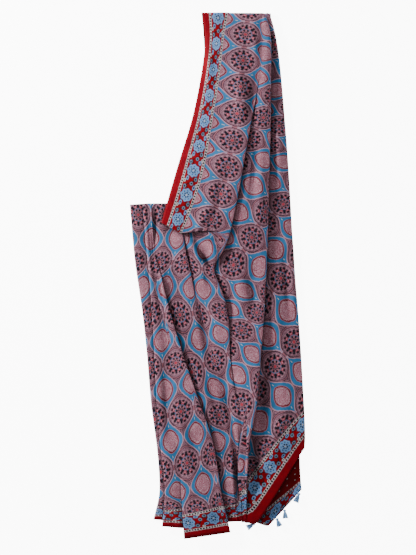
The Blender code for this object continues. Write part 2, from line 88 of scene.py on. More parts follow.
# Each line that runs down the cloth: which way it folds (+1 left layer on top, -1 right
# layer on top, 0 plain line), how deep it tucks, and its x, y, height and strength by level.
LINES = {
    "left_outline": dict(
        fold=0, tuck=0.0, starts="under",
        x=dict(under=-242.0, swag=-230.0, tuck=-224.0, hip=-206.0, thigh=-193.0,
               knee=-183.0, shin=-167.0, ankle=-158.0, hem=-176.0),
        y=dict(under=200.0, hem=-681.0),
        z=dict(under=6.0, hem=6.0),
    ),
    "narrow_pleat": dict(
        fold=-1, tuck=16.0, starts="under",
        x=dict(under=-207.0, swag=-195.0, tuck=-190.0, hip=-180.0, thigh=-173.0,
               knee=-167.0, shin=-157.0, ankle=-143.0, hem=-152.0),
        y=dict(under=202.0, hem=-700.0),
        z=dict(under=14.0, hem=14.0),
        w=dict(under=1.0, hem=1.0),
    ),
    "hem_pleat": dict(
        fold=-1, tuck=14.0, starts="under",
        x=dict(under=-192.0, swag=-181.0, tuck=-174.0, hip=-155.0, thigh=-137.0,
               knee=-120.0, shin=-108.0, ankle=-101.0, hem=-90.0),
        y=dict(under=203.0, hem=-734.0),
        z=dict(under=13.0, shin=13.5, ankle=18.0, hem=22.0),
        w=dict(under=0.0, shin=0.0, ankle=0.55, hem=1.0),
    ),
    "slanting_pleat": dict(
        fold=1, tuck=22.0, starts="under",
        x=dict(under=-179.0, swag=-168.0, tuck=-159.0, hip=-130.0, thigh=-92.0,
               knee=-48.0, shin=-9.0, ankle=8.0, hem=36.0),
        y=dict(under=203.0, hem=-716.0),
        z=dict(under=13.0, swag=14.0, tuck=18.0, hip=22.0, ankle=23.0, hem=21.0),
        w=dict(under=0.0, swag=0.1, tuck=0.6, hip=1.0, hem=1.0),
    ),
    "free_edge": dict(
        fold=0, tuck=0.0, starts="top",
        x=dict(top=-43.0, shoulder=-32.0, chest=-45.0, rib=-70.0, side=-101.0,
               low_side=-129.0, lip=-155.0, under=-134.0, swag=-126.0, tuck=-116.0,
               hip=-88.0, thigh=-50.0, knee=-6.0, shin=28.0, ankle=40.0, hem=52.0),
        y=dict(top=737.0, low_side=242.0, lip=150.0, under=203.0, swag=62.0,
               ankle=-592.0, hem=-686.0),
        z=dict(top=10.0, shoulder=8.0, side=9.0, low_side=17.0, lip=27.0,
               under=15.5, swag=15.0, hip=11.5, hem=11.5),
    ),
    "panel_edge": dict(
        fold=1, tuck=13.0, starts="top",
        x=dict(top=32.0, shoulder=20.0, chest=9.0, rib=-11.0, side=-27.0,
               low_side=-50.0, lip=-97.0, under=-102.0, swag=-85.0, tuck=-74.0,
               hip=-48.0, thigh=-12.0, knee=26.0, shin=50.0, ankle=56.0, hem=64.0),
        y=dict(top=737.0, low_side=240.0, lip=121.0, under=168.0, swag=56.0,
               ankle=-590.0, hem=-686.0),
        z=dict(top=10.0, shoulder=18.0, side=22.0, low_side=27.0, lip=32.0,
               under=20.5, swag=24.0, tuck=23.0, hip=13.0, hem=12.0),
        w=dict(top=0.0, under=0.0, swag=1.0, tuck=0.8, hip=0.0, hem=0.0),
    ),
    "curved_fold": dict(
        fold=1, tuck=22.0, starts="top",
        x=dict(top=122.0, shoulder=123.0, chest=120.0, rib=95.0, side=77.0,
               low_side=60.0, lip=37.0, under=30.0, swag=12.0, tuck=-12.0,
               hip=33.0, thigh=36.0, knee=60.0, shin=68.0, ankle=70.0, hem=74.0),
        y=dict(top=736.0, low_side=240.0, lip=128.0, under=105.0, swag=62.0,
               tuck=22.0, hip=-108.0, ankle=-590.0, hem=-688.0),
        z=dict(top=10.0, shoulder=19.0, chest=24.0, rib=32.0, under=35.0, swag=34.0,
               tuck=28.0, hip=27.0, thigh=22.0, knee=18.0, hem=13.5),
        w=dict(top=0.0, shoulder=0.0, chest=0.1, rib=0.9, side=1.0, under=1.0,
               swag=1.0, tuck=0.9, hip=0.9, thigh=0.6, knee=0.1, shin=0.0, hem=0.0),
    ),
    "long_fold": dict(
        fold=1, tuck=24.0, starts="top",
        x=dict(top=138.0, shoulder=150.0, chest=149.0, rib=148.0, side=146.0,
               low_side=143.0, lip=141.0, under=140.0, swag=138.0, tuck=136.0,
               hip=130.0, thigh=120.0, knee=110.0, shin=87.0, ankle=82.0, hem=84.0),
        y=dict(top=735.5, low_side=240.0, lip=150.0, under=118.0, swag=68.0,
               tuck=15.0, ankle=-590.0, hem=-690.0),
        z=dict(top=10.0, shoulder=20.0, chest=23.0, hip=27.0, knee=30.0, shin=30.0,
               ankle=24.0, hem=14.0),
        w=dict(top=0.0, shoulder=1.0, shin=1.0, ankle=0.9, hem=0.0),
    ),
    "valley_ridge": dict(
        fold=0, tuck=0.0, starts="top",
        x=dict(top=143.5, shoulder=158.0, chest=163.0, rib=168.0, side=172.0,
               low_side=174.0, lip=178.0, under=178.0, swag=179.0, tuck=180.0,
               hip=176.0, thigh=162.0, knee=142.0, shin=122.0, ankle=118.0, hem=112.0),
        y=dict(top=735.0, low_side=240.0, lip=152.0, under=118.0, swag=68.0,
               tuck=12.0, shin=-470.0, ankle=-570.0, hem=-696.0),
        z=dict(top=10.0, shoulder=11.0, side=12.0, hip=12.0, knee=12.5, shin=13.0,
               ankle=13.0, hem=12.5),
    ),
    "right_outline": dict(
        fold=0, tuck=0.0, starts="top",
        x=dict(top=147.0, shoulder=165.0, chest=178.0, rib=188.0, side=196.0,
               low_side=202.0, lip=207.0, under=209.0, swag=213.0, tuck=216.0,
               hip=226.0, thigh=234.0, knee=240.0, shin=244.0, ankle=245.0, hem=243.0),
        y=dict(top=734.5, low_side=240.0, lip=152.0, under=118.0, swag=68.0,
               tuck=12.0, hip=-110.0, thigh=-226.0, knee=-330.0, shin=-405.0,
               ankle=-450.0, hem=-482.0),
        z=dict(top=10.0, shoulder=9.6, hem=9.6),
    ),
}

# The cloth turned under at the two outlines: width of the part turned under, by level, mm.
LEFT_TURN_UNDER = 42.0
RIGHT_TURN_UNDER = dict(top=-3.6, shoulder=34.0, chest=46.0, hip=52.0, ankle=40.0, hem=30.0)
TURN_RADIUS = 2.3

# How far the hem of the layer on each side of a pleat is drawn up or let down, mm.
HEM_STEP = {
    "narrow_pleat": (17.0, 0.0),
    "hem_pleat": (27.0, 0.0),
    "slanting_pleat": (0.0, 32.0),
}

# The tail underneath: its two long edges at each height, from the end up to the shoulder.
TAIL_STATIONS = (
    dict(name="end", left=(28.0, -664.0), right=(237.0, -598.0), sag=74.0),
    dict(name="band", left=(20.0, -600.0), right=(233.0, -550.0), sag=34.0),
    dict(name="ground", left=(4.0, -500.0), right=(231.0, -480.0), sag=12.0),
    dict(name="calf", left=(-14.0, -330.0), right=(226.0, -330.0), sag=0.0),
    dict(name="waist", left=(-40.0, 20.0), right=(205.0, 20.0), sag=0.0),
    dict(name="back", left=(-42.0, 330.0), right=(184.0, 330.0), sag=0.0),
    dict(name="blade", left=(-30.0, 600.0), right=(160.0, 600.0), sag=0.0),
    dict(name="top", left=(-43.0, 737.0), right=(150.6, 734.0), sag=0.0),
)
TAIL_ROWS_BETWEEN = (2, 1, 1, 1, 1, 1, 1)
TAIL_END_CORNER = 0.55     # where along the end the visible corner of the tail lies
SHOULDER_STEPS = 3         # rows round the shoulder fold

PANEL_CROWN = 2.2          # how far a panel swells between its lines, mm
ROLL_WIDTH = 20.0          # a part turned under by this much is fully rolled, mm

# The six points of a fold: how far down each lies, in shares of two layers, and how much
# of the hem step of the lower layer it takes.
FOLD_POINTS = 6
FOLD_HEIGHTS = (0.0, 0.25, 0.5, 0.5, 0.75, 1.0)
HEM_RAMP = (0.0, 0.0, 0.15, 0.85, 1.0, 1.0)
FLAT_SPREAD = 1.7          # distance between the points where the fold is flat, mm
HEM_FADE_START = 2.2       # levels above the end of the list where a hem step begins
HEM_FADE_LEVELS = 1.2
TURN_POINTS = 5            # points of a part turned under at an outline
LIP_FADE_SHORT = 42.0      # the lip has gone this far before the curved fold, mm
LIP_LAST_COLUMN = 20

# Columns laid between neighbouring lines.
PANELS = (
    ("left_outline", "narrow_pleat", 2),
    ("narrow_pleat", "hem_pleat", 2),
    ("hem_pleat", "slanting_pleat", 2),
    ("slanting_pleat", "free_edge", 2),
    ("free_edge", "panel_edge", 3),
    ("panel_edge", "curved_fold", 5),
    ("curved_fold", "long_fold", 3),
    ("long_fold", "valley_ridge", 2),
    ("valley_ridge", "right_outline", 2),
)

# Tassels tied to the end of the tail: where each is tied, and the way it points.
TASSELS = {
    "tassel_left": dict(at=(106.0, -691.5), points=211.0, long=26.0, wide=8.0),
    "tassel_low": dict(at=(166.8, -677.3), points=-70.0, long=25.0, wide=8.2),
    "tassel_mid": dict(at=(188.8, -652.9), points=-84.0, long=26.0, wide=8.0),
    "tassel_right": dict(at=(230.8, -606.4), points=-112.0, long=29.0, wide=8.2),
}

# %% [markdown]
# ## From the tables to a grid
# Each row of the grid is one section across the cloth. A fold is six points that go out,
# back under and out again; where its strength is nought the six points lie flat.

# %%
def smooth_table(values, key_levels, samples):
    """Smooth values through the given levels: piecewise cubic that never overshoots."""
    x = np.asarray(key_levels, float)
    y = np.asarray(values, float)
    if len(x) == 1:
        return np.full(len(samples), y[0])
    step = np.diff(x)
    slope = np.diff(y) / step
    tangent = np.zeros(len(x))
    tangent[0] = slope[0]
    tangent[-1] = slope[-1]
    for i in range(1, len(x) - 1):
        if slope[i - 1] * slope[i] > 0.0:
            w1 = 2.0 * step[i] + step[i - 1]
            w2 = step[i] + 2.0 * step[i - 1]
            tangent[i] = (w1 + w2) / (w1 / slope[i - 1] + w2 / slope[i])
    out = []
    for s in samples:
        i = int(np.clip(np.searchsorted(x, s, side="right") - 1, 0, len(x) - 2))
        t = (s - x[i]) / step[i]
        t2 = t * t
        t3 = t2 * t
        h00 = 2 * t3 - 3 * t2 + 1
        h10 = t3 - 2 * t2 + t
        h01 = -2 * t3 + 3 * t2
        h11 = t3 - t2
        out.append(h00 * y[i] + h10 * step[i] * tangent[i]
                   + h01 * y[i + 1] + h11 * step[i] * tangent[i + 1])
    return np.array(out)


def by_level(table, samples, default=None):
    """Values of one column of a line's table at fractional level numbers."""
    keys = [LEVEL_NAMES.index(name) for name in table]
    order = np.argsort(keys)
    keys = [keys[i] for i in order]
    values = [list(table.values())[i] for i in order]
    if default is not None:
        filled = dict(zip(keys, values))
        for i, name in enumerate(LEVEL_NAMES):
            if keys[0] <= i <= keys[-1] and i not in filled:
                filled[i] = default[name]
        keys = sorted(filled)
        values = [filled[k] for k in keys]
    return smooth_table(values, keys, samples)


def ease(t):
    t = min(max(t, 0.0), 1.0)
    return t * t * (3.0 - 2.0 * t)


def row_levels():
    """Fractional level number of every row, from the shoulder fold to the hem."""
    rows = [0.0]
    for i, n in enumerate(ROWS_BETWEEN):
        for k in range(1, n + 1):
            rows.append(i + k / n)
    return np.array(rows)


ROWS = row_levels()
LIP_ROW = sum(ROWS_BETWEEN[:LIP])
UNDER_ROW = sum(ROWS_BETWEEN[:UNDER])


def line_points(name):
    """x, y, z and fold strength of one line at every row."""
    line = LINES[name]
    y_default = dict(LEVEL_Y)
    x = by_level(line["x"], ROWS)
    y = by_level({**y_default, **line["y"]} if line["starts"] == "top"
                 else line["y"], ROWS, y_default)
    z = by_level(line["z"], ROWS)
    w = by_level(line["w"], ROWS) if "w" in line else np.zeros(len(ROWS))
    return np.stack([x, y, z], axis=1), np.clip(w, 0.0, 1.0)


LINE_DATA = {name: line_points(name) for name in LINES}


def across_direction(name, row):
    """Unit vector across the cloth, square to the line at this row."""
    pts = LINE_DATA[name][0]
    a = pts[max(row - 1, 0)]
    b = pts[min(row + 1, len(pts) - 1)]
    if name in ("free_edge", "panel_edge") and LIP_ROW - 1 <= row <= UNDER_ROW + 1:
        return np.array([1.0, 0.0])
    d = np.array([b[0] - a[0], b[1] - a[1]])
    n = np.linalg.norm(d)
    if n < 1e-6:
        return np.array([1.0, 0.0])
    d = d / n
    out = np.array([-d[1], d[0]])
    if out[0] < 0.0:
        out = -out
    return out


def fold_section(name, row):
    """Points of one line's fold at one row, in order from left to right in the cloth."""
    line = LINES[name]
    pts, w = LINE_DATA[name]
    p = pts[row]
    if line["fold"] == 0:
        return [tuple(p)]
    strength = ease(w[row])
    d = across_direction(name, row)
    radius = LAYER / 2.0
    tuck = line["tuck"] * strength
    drop = 2.0 * LAYER * strength
    middle = (FOLD_POINTS - 1) / 2.0
    flat = [(k - middle) * FLAT_SPREAD for k in range(FOLD_POINTS)]
    folded = [0.0, radius, 0.0, -tuck, -tuck - radius, -tuck]
    order = range(FOLD_POINTS)
    if line["fold"] < 0:
        folded = [-f for f in folded]
        order = reversed(order)
    out = []
    for place, k in enumerate(order):
        along = flat[place] * (1.0 - strength) + folded[k] * strength
        z = p[2] - drop * FOLD_HEIGHTS[k]
        out.append((p[0] + d[0] * along, p[1] + d[1] * along, z))
    step = HEM_STEP.get(name)
    if step is not None:
        fade = ease((ROWS[row] - (N_LEVELS - HEM_FADE_START)) / HEM_FADE_LEVELS)
        out = [(q[0], q[1] + fade * (step[0] * (1 - t) + step[1] * t), q[2])
               for q, t in zip(out, HEM_RAMP)]
    return out


def outline_turn(name, row, side, width, radius):
    """Points where the cloth turns under at an outline, from the outline inwards."""
    p = LINE_DATA[name][0][row]
    rolled = ease(width / ROLL_WIDTH) if width > 0.0 else 0.0
    r = radius * rolled
    inward = -side
    if rolled > 0.0:
        moves = ((0.0, 0.0), (side * r, -r), (0.0, -2 * r),
                 (inward * width * 0.5, -2 * r), (inward * width, -2 * r))
    else:
        last = TURN_POINTS - 1
        moves = [(side * abs(width) * k / last, 0.0) for k in range(TURN_POINTS)]
    return [(p[0] + dx, p[1], p[2] + dz) for dx, dz in moves]


def panel_columns(left, right, count, crown):
    """Points between two lines: straight across with a soft crown."""
    out = []
    for k in range(1, count):
        t = k / count
        bump = crown * math.sin(math.pi * t)
        out.append(tuple(a * (1 - t) + b * t for a, b in zip(left[:2], right[:2]))
                   + (left[2] * (1 - t) + right[2] * t + bump,))
    return out


def section(row):
    """The whole section across the cloth at one row, from the left end to the right end."""
    whole = row >= UNDER_ROW
    pts = []
    turn = by_level(RIGHT_TURN_UNDER, [ROWS[row]])[0]
    if whole:
        left_turn = outline_turn("left_outline", row, -1, LEFT_TURN_UNDER, TURN_RADIUS)
        pts.extend(reversed(left_turn))
    for a, b, count in PANELS:
        if not whole and LINES[a]["starts"] != "top":
            continue
        left = fold_section(a, row)
        right = fold_section(b, row)
        if not pts:
            pts.extend(left)
        pts.extend(panel_columns(left[-1], right[0], count, PANEL_CROWN))
        if b != "right_outline":
            pts.extend(right)
    pts.extend(outline_turn("right_outline", row, 1, turn, TURN_RADIUS))
    return pts


def count_left_columns():
    """Columns that lie to the left of the free edge."""
    n = TURN_POINTS
    for _, b, count in PANELS:
        n += count - 1
        if b == "free_edge":
            break
        n += FOLD_POINTS if LINES[b]["fold"] != 0 else 1
    return n


LEFT_COLUMNS = count_left_columns()


def lip_fold(rows):
    """Fold the front flap back under itself along its lip."""
    first = rows[LIP_ROW]
    last = rows[UNDER_ROW][LEFT_COLUMNS:]
    new = [[] for _ in range(FOLD_POINTS)]
    # strength of the lip in each column: full from the free edge to the panel edge
    x_full = LINE_DATA["panel_edge"][0][LIP_ROW][0]
    x_none = LINE_DATA["curved_fold"][0][LIP_ROW][0] - LIP_FADE_SHORT
    r = LAYER / 2.0
    rounding = (0.0, -r, 0.0, 0.0, r, 0.0)
    for j, (a, b) in enumerate(zip(first, last)):
        a = np.array(a)
        b = np.array(b)
        w = 1.0 - ease((a[0] - x_full) / (x_none - x_full))
        if j > LIP_LAST_COLUMN:
            w = 0.0
        for k in range(FOLD_POINTS):
            f = k / (FOLD_POINTS - 1)
            plain = a * (1 - f) + b * f
            base = a if k < FOLD_POINTS // 2 else b
            z = a[2] - 2.0 * LAYER * FOLD_HEIGHTS[k]
            folded = np.array([base[0], base[1] + rounding[k], z])
            new[k].append(tuple(plain * (1 - w) + folded * w))
    return new


def tail_rows(columns):
    """Rows of the tail, from its end up to the shoulder fold."""
    rows = []
    for n, a, b in zip(TAIL_ROWS_BETWEEN, TAIL_STATIONS, TAIL_STATIONS[1:]):
        for k in range(n):
            t = k / n
            left = [a["left"][m] * (1 - t) + b["left"][m] * t for m in range(2)]
            right = [a["right"][m] * (1 - t) + b["right"][m] * t for m in range(2)]
            sag = a["sag"] * (1 - t) + b["sag"] * t
            row = []
            for j in range(columns):
                s = j / (columns - 1)
                if s < TAIL_END_CORNER:
                    dip = s / TAIL_END_CORNER
                else:
                    dip = (1.0 - s) / (1.0 - TAIL_END_CORNER)
                x = left[0] * (1 - s) + right[0] * s
                y = left[1] * (1 - s) + right[1] * s - sag * dip
                row.append((x, y, TAIL_Z))
            rows.append(row)
    return rows


def cloth_grid():
    """Rows of points; the upper rows are shorter because the flap has fewer columns."""
    front = [section(r) for r in range(len(ROWS))]
    folded = lip_fold(front)
    top = front[0]
    columns = len(top)
    rows = tail_rows(columns)
    # round the shoulder fold: from the tail up and over to the front
    radius = (top[0][2] - TAIL_Z) / 2.0
    rows.append([(q[0], q[1] - radius, TAIL_Z) for q in top])
    for k in range(1, SHOULDER_STEPS + 1):
        angle = -math.pi / 2.0 + math.pi * k / (SHOULDER_STEPS + 1)
        ring = []
        for q in top:
            y = q[1] - radius + radius * math.cos(angle)
            z = TAIL_Z + radius + radius * math.sin(angle)
            ring.append((q[0], y, z))
        rows.append(ring)
    front[0] = [(q[0], q[1] - radius, q[2]) for q in top]
    rows.extend(front[:LIP_ROW] + folded)
    lower = front[UNDER_ROW:]
    # the first full row joins the last folded row
    lower[0] = lower[0][:LEFT_COLUMNS] + folded[-1]
    return rows[:-1], lower


# %% [markdown]
# ## Where the print lies
# The print is measured along the cloth (u, in repeats of 72 mm) and across it (v, in mm
# from the hem). Each panel between two folds has stations: a place on the laid-out cloth,
# the u and v printed there, and the turn of the u direction. Between stations they blend.

# %%
REPEAT_U = 72.0
REPEAT_V = 138.0
FIRST_ROW_V = 82.0
CLOTH_WIDTH_V = 1040.0

STATIONS = {
    # panel: (x, y, repeats along, mm from the hem, turn of the u direction)
    "left": (
        (-110, 106, 0.5, 841, 2), (-137, -30, 0.5, 703, 0), (-154, -182, 0.5, 565, 8),
        (-144, -317, 0.5, 427, 15), (-129, -462, 0.5, 289, 18), (-110, -608, 0.5, 151, 20),
    ),
    "middle": (
        (-110, 106, 0.5, 841, 2), (-110, -30, 1.0, 703, -2), (-47, -175, 1.5, 565, 13),
        (-5, -315, 1.5, 427, 36), (3, -461, 0.5, 289, 22), (39, -590, 0.5, 151, 28),
    ),
    "swag": (
        (-34, 73, 2.5, 841, -25), (-38, -34, 2.5, 703, -12), (17, -160, 2.5, 565, 18),
        (54, -272, 2.5, 427, 40), (60, -440, 1.5, 289, 22), (56, -590, 0.8, 120, 40),
    ),
    "flap": (
        (80, 674, 14, 910, 82), (66, 528, 12, 910, 82), (42, 378, 10, 910, 77),
        (12, 229, 8, 910, 70), (-16, 156, 7, 910, 66),
    ),
    "inner": (
        (130, 620, 13.5, 841, 80), (134, 325, 9.5, 703, 67), (97, 108, 7, 634, 61),
        (95, -14, 6, 565, 56), (100, -215, 3.5, 427, 51), (60, -440, 1.5, 289, 25),
        (82, -590, 1.1, 78, 50),
    ),
    "right": (
        (150, 690, 15.5, 800, 82), (164, 515, 13.5, 703, 77), (171, 420, 12, 634, 72),
        (169, 293, 10, 565, 63), (188, 107, 8, 427, 54), (178, -6, 7, 358, 53),
        (170, -132, 6, 289, 51), (186, -221, 5.5, 220, 54), (158, -366, 4, 151, 50),
        (185, -427, 4, 82, 53),
    ),
}


def print_at(panel, x, y):
    """Repeats along and millimetres across at one place of a panel."""
    stations = STATIONS[panel]

    def one(s):
        turn = math.radians(s[4])
        dx = x - s[0]
        dy = y - s[1]
        u = s[2] + (dx * math.cos(turn) + dy * math.sin(turn)) / REPEAT_U
        v = s[3] - dx * math.sin(turn) + dy * math.cos(turn)
        return np.array([u, v])

    if y >= stations[0][1]:
        return one(stations[0])
    for a, b in zip(stations, stations[1:]):
        if y >= b[1]:
            t = ease((a[1] - y) / (a[1] - b[1]))
            return one(a) * (1 - t) + one(b) * t
    return one(stations[-1])


def column_plan():
    """Panel of every column, from the left end; a fold's columns blend two panels."""
    plan = [("left", "left", 0.0)] * TURN_POINTS
    after = {
        "narrow_pleat": ("left", "left"), "hem_pleat": ("left", "left"),
        "slanting_pleat": ("left", "middle"), "free_edge": ("middle", "middle"),
        "panel_edge": ("middle", "swag"), "curved_fold": ("swag", "inner"),
        "long_fold": ("inner", "right"), "valley_ridge": ("right", "right"),
    }
    here = "left"
    for _, b, count in PANELS:
        plan += [(here, here, 0.0)] * (count - 1)
        if b == "right_outline":
            break
        n = FOLD_POINTS if LINES[b]["fold"] != 0 else 1
        before, following = after[b]
        for k in range(n):
            t = k / (n - 1) if n > 1 else 0.0
            plan.append((before, following, t))
        here = following
    plan += [("right", "right", 0.0)] * TURN_POINTS
    return plan


BORDER_LINE_COLUMN = 3     # column of the flap on the border's inner line
BORDER_LINE_V = 967.0
BORDER_REACH = 70.0        # how far in from that line the print is drawn to meet it, mm


def hold_border(points, prints):
    """Let the flap's border follow its free edge."""
    line = points[BORDER_LINE_COLUMN]
    slip = BORDER_LINE_V - prints[BORDER_LINE_COLUMN][1]
    for j, (q, uv) in enumerate(zip(points, prints)):
        if j < BORDER_LINE_COLUMN:
            share = j / BORDER_LINE_COLUMN
            uv[1] = CLOTH_WIDTH_V * (1 - share) + BORDER_LINE_V * share
        else:
            away = math.hypot(q[0] - line[0], q[1] - line[1])
            uv[1] += slip * (1.0 - ease(away / BORDER_REACH))
    return prints


def print_of_row(points, plan, flap):
    """Print coordinates of one row of the grid."""
    out = []
    for q, (a, b, t) in zip(points, plan):
        if flap:
            a = "flap" if a in ("middle", "swag") else a
            b = "flap" if b in ("middle", "swag") else b
        uv = print_at(a, q[0], q[1]) * (1 - t) + print_at(b, q[0], q[1]) * t
        out.append(uv)
    if flap:
        out = hold_border(points, out)
    return out


# %% [markdown]
# ## The sheet
# The grid becomes one mesh. The print coordinates go into its UV map, the mesh is
# smoothed, soft creases are pressed in, and Solidify gives the cotton its thickness.

# %%
# Creases: from, to, half width, depth in mm (a trough below nought, a ridge above it).
CREASES = (
    ((-66, 108), (-30, 50), 8, -4.5), ((-42, 66), (-17, 22), 6, -5.0),
    ((36, 58), (35, 28), 6, -3.5), ((18, 72), (52, 68), 6, -3.0),
    ((-78, 92), (-44, 36), 8, 3.5), ((-24, 100), (2, 50), 9, 4.0),
    ((-56, 112), (10, 88), 8, -3.0), ((-50, 20), (-34, -30), 8, 3.0),
    ((36, -39), (40, -129), 9, -3.5), ((-153, 30), (-150, -40), 6, 2.5),
    ((-212, 170), (-196, -10), 6, -2.5), ((-170, 190), (-176, 60), 6, -3.0),
    ((92, 430), (112, 560), 14, -3.5), ((126, 330), (118, 120), 12, 3.0),
    ((105, 60), (96, -120), 13, -3.5), ((60, 10), (88, -90), 12, 3.5),
    ((112, 380), (96, 200), 8, -3.0), ((-10, 200), (-60, 128), 12, 3.0),
    ((30, 300), (-6, 180), 15, -2.5), ((60, 600), (70, 420), 16, 3.0),
    ((-60, -240), (0, -420), 14, 3.0), ((-120, -300), (-80, -560), 15, 3.0),
    ((-30, -470), (-8, -640), 13, -3.5), ((40, -480), (44, -640), 10, 3.5),
    ((-40, -90), (-24, -240), 12, -3.0), ((10, -220), (44, -400), 12, -3.0),
    ((-150, -230), (-132, -460), 10, -3.0), ((-70, -420), (-40, -600), 12, -2.5),
    ((160, -60), (196, -300), 14, 3.0), ((190, 60), (205, -130), 10, -3.0),
    ((196, -330), (160, -480), 12, 3.0), ((103, -440), (104, -600), 9, -7.0),
    ((134, -250), (124, -430), 8, -5.0), ((-25, 640), (-20, 540), 10, 2.5),
    ((165, 470), (180, 250), 9, 2.5), ((-118, -640), (-100, -720), 9, 2.5),
    ((-40, -640), (-30, -700), 11, 3.0), ((0, -640), (12, -710), 9, -3.0),
    ((100, 710), (108, 600), 12, 2.5), ((20, -200), (60, -330), 12, -2.0),
    ((150, -520), (190, -470), 12, 2.5), ((100, -600), (140, -560), 10, -2.5),
)
CREASE_GAIN = 2.0
CREASE_END = 0.04          # share of a crease's length that its rounded ends keep
CREASE_TAPER = 0.6
UPPER_FROM = 5.0           # creases press only what lies above this height, mm
UPPER_FULL = 8.0

TAIL_PRINT_START = 70.0    # repeats: the printed end has its own place on the print
TAIL_PRINT_STRETCH = 1.1
TAIL_END_ROWS = 5          # rows of faces that carry the printed end
MIRROR_Y = 1472.0          # the tail's print is the flap's, mirrored about the shoulder
UV_UNIT = 1000.0           # millimetres of print across for one unit of the UV map
SMOOTH_STEPS = 2


def press_creases(co):
    """Raise or lower the upper layers softly along each crease."""
    for (x0, y0), (x1, y1), half, depth in CREASES:
        along = np.array([x1 - x0, y1 - y0], float)
        offset = co[:, :2] - np.array([x0, y0], float)
        t = np.clip((offset @ along) / float(along @ along), 0.0, 1.0)
        away = offset - t[:, None] * along
        width = np.exp(-(away ** 2).sum(axis=1) / half ** 2)
        taper = np.sin(math.pi * np.clip(t, CREASE_END, 1.0 - CREASE_END)) ** CREASE_TAPER
        upper = np.clip((co[:, 2] - UPPER_FROM) / UPPER_FULL, 0.0, 1.0)
        co[:, 2] += CREASE_GAIN * depth * width * taper * upper
    co[:, 2] = np.maximum(co[:, 2], TAIL_Z)
    return co


def row_faces(first, wide, rows):
    """Quads between neighbouring rows of equal width."""
    faces = []
    for i in range(rows - 1):
        for j in range(wide - 1):
            a = first + i * wide + j
            faces.append((a, a + wide, a + wide + 1, a + 1))
    return faces


def sheet_faces(upper, lower):
    """Quads of the upper rows, of the join under the lip, and of the full rows."""
    columns = len(upper[0])
    base = len(upper) * columns
    faces = row_faces(0, columns, len(upper))
    for j in range(columns - 1):
        a = base - columns + j
        b = base + LEFT_COLUMNS + j
        faces.append((a, b, b + 1, a + 1))
    return faces + row_faces(base, len(lower[0]), len(lower))


def upper_prints(upper, plan):
    """Print of the tail, shoulder and flap, and the place of the tail on its printed end."""
    n_tail = sum(TAIL_ROWS_BETWEEN)
    prints = []
    ends = []
    distance = 0.0
    middle = len(upper[0]) // 2
    for i, row in enumerate(upper):
        if i < n_tail:
            if i > 0:
                distance += abs(row[middle][1] - upper[i - 1][middle][1])
            u = -TAIL_PRINT_START - distance / REPEAT_U
            ends += [(u, q[0] * TAIL_PRINT_STRETCH) for q in row]
            row = [(q[0], MIRROR_Y - q[1], q[2]) for q in row]
        prints += print_of_row(row, plan, True)
    return prints, ends


def lower_prints(lower, plan):
    """Print of the full rows; below the ankle it runs out evenly to the hem."""
    ankle = sum(ROWS_BETWEEN[:-1]) - UNDER_ROW
    prints = []
    held = []
    for i, row in enumerate(lower):
        here = print_of_row(row, plan, False)
        if i <= ankle:
            held = here
        else:
            t = (i - ankle) / (len(lower) - 1 - ankle)
            here = [np.array([p[0], h[1] * (1 - t)]) for p, h in zip(here, held)]
        prints += here
    return prints


def base_object(upper, lower):
    """The coarse grid as an object, with the print coordinates in its UV map."""
    plan = column_plan()
    prints, ends = upper_prints(upper, plan[LEFT_COLUMNS:])
    prints += lower_prints(lower, plan)
    verts = [q for row in upper + lower for q in row]
    mesh = bpy.data.meshes.new("cloth_base")
    mesh.from_pydata(verts, [], sheet_faces(upper, lower))
    layer = mesh.uv_layers.new(name="print")
    end_faces = TAIL_END_ROWS * (len(upper[0]) - 1)
    for polygon in mesh.polygons:
        source = ends if polygon.index < end_faces else prints
        for loop in polygon.loop_indices:
            u, v = source[mesh.loops[loop].vertex_index]
            layer.data[loop].uv = (u, v / UV_UNIT)
    obj = bpy.data.objects.new("cloth_base", mesh)
    bpy.context.scene.collection.objects.link(obj)
    return obj


def evaluated_mesh(obj):
    """Mesh of an object after its modifiers; the object itself goes."""
    depsgraph = bpy.context.evaluated_depsgraph_get()
    mesh = bpy.data.meshes.new_from_object(obj.evaluated_get(depsgraph))
    bpy.data.objects.remove(obj)
    return mesh


def link_smooth(name, mesh):
    """An object with smooth shading in the scene."""
    for polygon in mesh.polygons:
        polygon.use_smooth = True
    obj = bpy.data.objects.new(name, mesh)
    bpy.context.scene.collection.objects.link(obj)
    return obj


def build_sheet():
    base = base_object(*cloth_grid())
    smoother = base.modifiers.new("smooth", "SUBSURF")
    smoother.levels = SMOOTH_STEPS
    smoother.render_levels = SMOOTH_STEPS
    smoother.boundary_smooth = "PRESERVE_CORNERS"
    fine = evaluated_mesh(base)
    co = press_creases(np.array([v.co[:] for v in fine.vertices]))
    co[:, 0] -= CENTRE_X
    co[:, 1] -= CENTRE_Y
    fine.vertices.foreach_set("co", (co * MM).ravel())
    fine.name = "printed_cloth"
    obj = link_smooth("printed_cloth", fine)
    solid = obj.modifiers.new("thickness", "SOLIDIFY")
    solid.thickness = RENDER_THICK * MM
    solid.offset = 0.0
    return obj


cloth = build_sheet()

# %% [markdown]
# ## Materials
# One helper adds a shader node with its settings and its links. The print is drawn with
# arithmetic on the print coordinates: shapes as distances, then colours laid in order.

# %%
def srgb(code):
    """Linear colour of an sRGB hex code."""
    values = [int(code[i:i + 2], 16) / 255.0 for i in (1, 3, 5)]
    return [v / 12.92 if v <= 0.04045 else ((v + 0.055) / 1.055) ** 2.4
            for v in values] + [1.0]


def add_node(tree, kind, settings=None, inputs=None):
    """Add one node to a tree; an input that is a socket becomes a link."""
    node = tree.nodes.new(kind)
    for key, value in (settings or {}).items():
        setattr(node, key, value)
    for key, value in (inputs or {}).items():
        if isinstance(value, bpy.types.NodeSocket):
            tree.links.new(value, node.inputs[key])
        else:
            node.inputs[key].default_value = value
    return node


